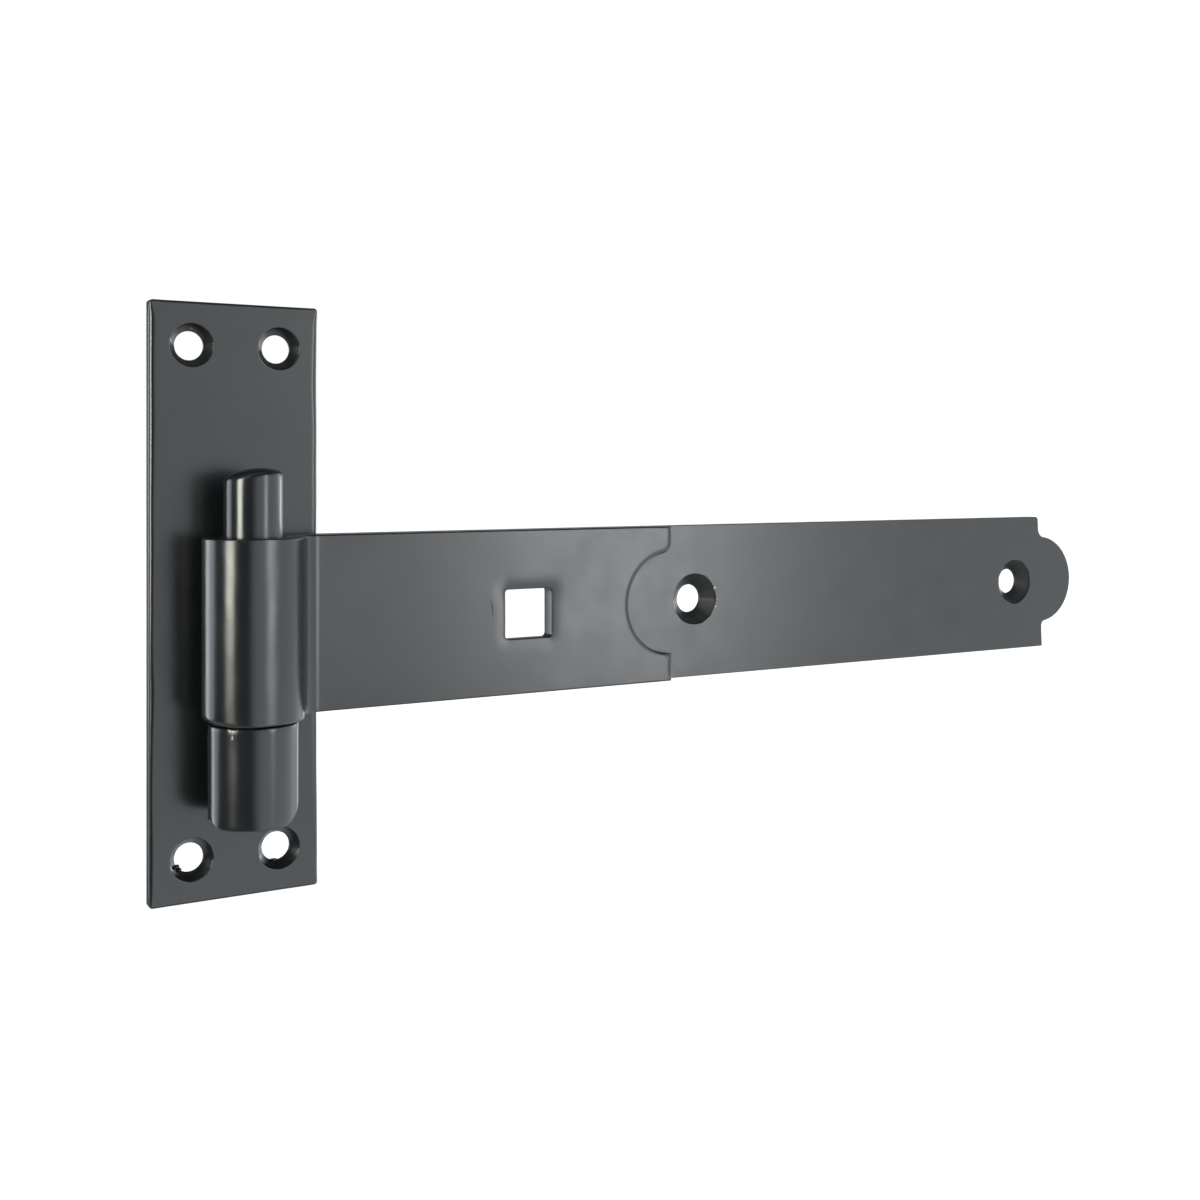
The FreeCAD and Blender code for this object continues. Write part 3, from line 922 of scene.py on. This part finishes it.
def studio_world():
    world = bpy.data.worlds.new("studio")
    world.use_nodes = True
    tree = world.node_tree
    tree.nodes.clear()
    way = add_node(tree, "ShaderNodeTexCoord").outputs["Generated"]
    height = add_node(tree, "ShaderNodeSeparateXYZ", inputs={"Vector": way}).outputs["Z"]

    def side(azimuth, spread, soft, strength):
        turned = add_node(tree, "ShaderNodeVectorMath", {"operation": "DOT_PRODUCT"}, {0: way, 1: aimed(azimuth, 0)})
        edges = [math.cos(math.radians(spread / 2 + shift)) for shift in (soft, -soft)]
        return add_node(tree, "ShaderNodeMapRange", {"interpolation_type": "SMOOTHSTEP"}, {
            "Value": turned.outputs["Value"], "From Min": edges[0], "From Max": edges[1], "To Max": strength,
        }).outputs["Result"]

    def brightest(walls):
        best = 0.0
        for wall in walls:
            best = add_node(tree, "ShaderNodeMath", {"operation": "MAXIMUM"}, {0: best, 1: side(*wall)}).outputs[0]
        return best

    walls = brightest(((30, 76, 16, 1.7), (78, 76, 5, 1.7), (-135.5, 43, 2, 1.5)))
    # Behind the hinge the walls end below the height of the eye, so that upper edges stay dark.
    behind = brightest(((122, 46, 7, 0.95), (165, 50, 7, 0.7)))
    foot = add_node(tree, "ShaderNodeMapRange", inputs={"Value": height, "From Min": 0.14, "From Max": 0.04})
    low_wall = add_node(tree, "ShaderNodeMath", {"operation": "MULTIPLY"}, {0: behind, 1: foot.outputs["Result"]})
    ceiling = add_node(tree, "ShaderNodeMapRange", {"interpolation_type": "SMOOTHSTEP"}, {
        "Value": height, "From Min": 0.3, "From Max": 0.5, "To Min": 1.0, "To Max": 0.2,
    })
    lower = add_node(tree, "ShaderNodeMapRange", inputs={
        "Value": height, "From Min": -0.27, "From Max": -0.12, "To Min": 1.3, "To Max": 1.0,
    })
    upright = add_node(tree, "ShaderNodeMath", {"operation": "MULTIPLY"}, {
        0: ceiling.outputs["Result"], 1: lower.outputs["Result"],
    })
    lit = add_node(tree, "ShaderNodeMath", {"operation": "MULTIPLY"}, {0: walls, 1: upright.outputs[0]})
    both = add_node(tree, "ShaderNodeMath", {"operation": "MAXIMUM"}, {0: lit.outputs[0], 1: low_wall.outputs[0]})
    room = add_node(tree, "ShaderNodeMath", {"operation": "ADD"}, {0: both.outputs[0], 1: 0.13})
    for low, high, strength in ((0.9, 0.98, 0.25), (-0.34, -0.46, 0.6)):
        # A pale patch straight above, and the table top from a little below the horizon down.
        patch = add_node(tree, "ShaderNodeMapRange", inputs={
            "Value": height, "From Min": low, "From Max": high, "To Max": strength,
        })
        room = add_node(tree, "ShaderNodeMath", {"operation": "ADD"}, {0: room.outputs[0], 1: patch.outputs["Result"]})
    rays = add_node(tree, "ShaderNodeLightPath")
    tint = add_node(tree, "ShaderNodeMix", {"data_type": "RGBA"}, {
        "Factor": rays.outputs["Is Camera Ray"], "A": linear("#F6FBFF"), "B": (1.0, 1.0, 1.0, 1.0),
    })
    strength = add_node(tree, "ShaderNodeMix", {"data_type": "FLOAT"}, {
        "Factor": rays.outputs["Is Camera Ray"], "A": room.outputs[0], "B": 1.0,
    })
    sky = add_node(tree, "ShaderNodeBackground", inputs={
        "Color": tint.outputs["Result"], "Strength": strength.outputs["Result"],
    })
    add_node(tree, "ShaderNodeOutputWorld", inputs={"Surface": sky.outputs["Background"]})
    return world


def matt_white_paper():
    material = bpy.data.materials.new("matt_white_paper")
    material.use_nodes = True
    tree = material.node_tree
    tree.nodes.clear()
    rays = add_node(tree, "ShaderNodeLightPath")
    paper = add_node(tree, "ShaderNodeBsdfDiffuse", inputs={"Color": linear("#F4F4F4")})
    glow_strength = add_node(tree, "ShaderNodeMath", {"operation": "MULTIPLY"}, {0: rays.outputs["Is Camera Ray"], 1: 0.72})
    glow = add_node(tree, "ShaderNodeEmission", inputs={"Color": (1.0, 1.0, 1.0, 1.0), "Strength": glow_strength.outputs[0]})
    mixed = add_node(tree, "ShaderNodeAddShader", inputs={0: paper.outputs[0], 1: glow.outputs[0]})
    add_node(tree, "ShaderNodeOutputMaterial", inputs={"Surface": mixed.outputs[0]})
    return material


class HINGE_OT_stage(bpy.types.Operator):
    """Pale floor, white backdrop, soft lamps and the camera"""
    bl_idname = "hinge.stage"
    bl_label = "Stage"

    def execute(self, context):
        scene = context.scene
        scene.view_settings.view_transform = "Standard"
        self.add_floor(scene)
        scene.world = studio_world()
        soft_box("left_key", -71, -6, 20, 18, 21.0, "#FFFFF1")
        soft_box("high_left", -60, 22, 58, 50, 0.85, "#F6FBFF")
        soft_box("right_fill", 32.3, -9, 35, 9, 7.5, "#FFFFFF")
        soft_box("fill_wing", 22, -9, 35, 7, 0.5, "#F6FBFF")
        soft_box("left_rim", -126, -9, 14, 28, 1.8, "#F6FBFF")
        soft_box("left_edge", -141, -20, 14, 10, 3.0, "#F6FBFF")
        soft_box("right_wing", 104, -8, 14, 26, 1.0, "#F6FBFF")
        soft_box("right_rim", 114, -7, 2, 9, 6.5, "#F6FBFF")
        soft_box("low_rim", 142, -20, -7, 12, 0.8, "#F6FBFF")
        self.add_camera(scene)
        return {"FINISHED"}

    def add_floor(self, scene):
        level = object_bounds()[0].z
        reach = 3.0
        mesh = bpy.data.meshes.new("floor")
        mesh.from_pydata([(x, y, level) for x, y in ((-reach, -reach), (reach, -reach), (reach, reach), (-reach, reach))], [], [(0, 1, 2, 3)])
        mesh.materials.append(matt_white_paper())
        floor = bpy.data.objects.new("floor", mesh)
        floor.visible_glossy = False
        scene.collection.objects.link(floor)
        floor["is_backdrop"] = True

    def add_camera(self, scene):
        stage = scene.hinge_stage
        lens = bpy.data.cameras.new("camera")
        lens.sensor_width = SENSOR
        lens.lens = stage.lens
        lens.shift_y = (468.95 - IMAGE_SIDE / 2) / IMAGE_SIDE
        lens.clip_start = 0.01
        camera = bpy.data.objects.new("camera", lens)
        camera.location = Vector((-98.85, -329.63, 29.67)) * MM
        camera.rotation_euler = (math.radians(90), 0.0, -stage.turn)
        scene.collection.objects.link(camera)
        scene.camera = camera


class HINGE_PT_sidebar(bpy.types.Panel):
    """Buttons that build the hinge piece by piece"""
    bl_idname = "HINGE_PT_sidebar"
    bl_label = "Hook and band hinge"
    bl_space_type = "VIEW_3D"
    bl_region_type = "UI"
    bl_category = "Hinge"

    def draw(self, context):
        for operator in OPERATORS:
            self.layout.operator(operator.bl_idname)


GROUPS = {
    "hinge_plate": PlateSizes, "hinge_pin": PinSizes, "hinge_band": BandSizes,
    "hinge_finish": Finish, "hinge_stage": Stage,
}
OPERATORS = (HINGE_OT_plate, HINGE_OT_pin, HINGE_OT_band, HINGE_OT_stage)
CLASSES = (*GROUPS.values(), *OPERATORS, HINGE_PT_sidebar)


def register():
    for cls in CLASSES:
        bpy.utils.register_class(cls)
    for name, group in GROUPS.items():
        setattr(bpy.types.Scene, name, bpy.props.PointerProperty(type=group))


def unregister():
    for name in GROUPS:
        delattr(bpy.types.Scene, name)
    for cls in reversed(CLASSES):
        bpy.utils.unregister_class(cls)


def corners():
    return [list(corner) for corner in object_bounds()]


def main():
    register()
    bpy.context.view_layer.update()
    bpy.ops.hinge.plate()
    bpy.ops.hinge.pin()
    bpy.ops.hinge.band()
    bpy.ops.hinge.stage()


if __name__ == "__main__":
    main()
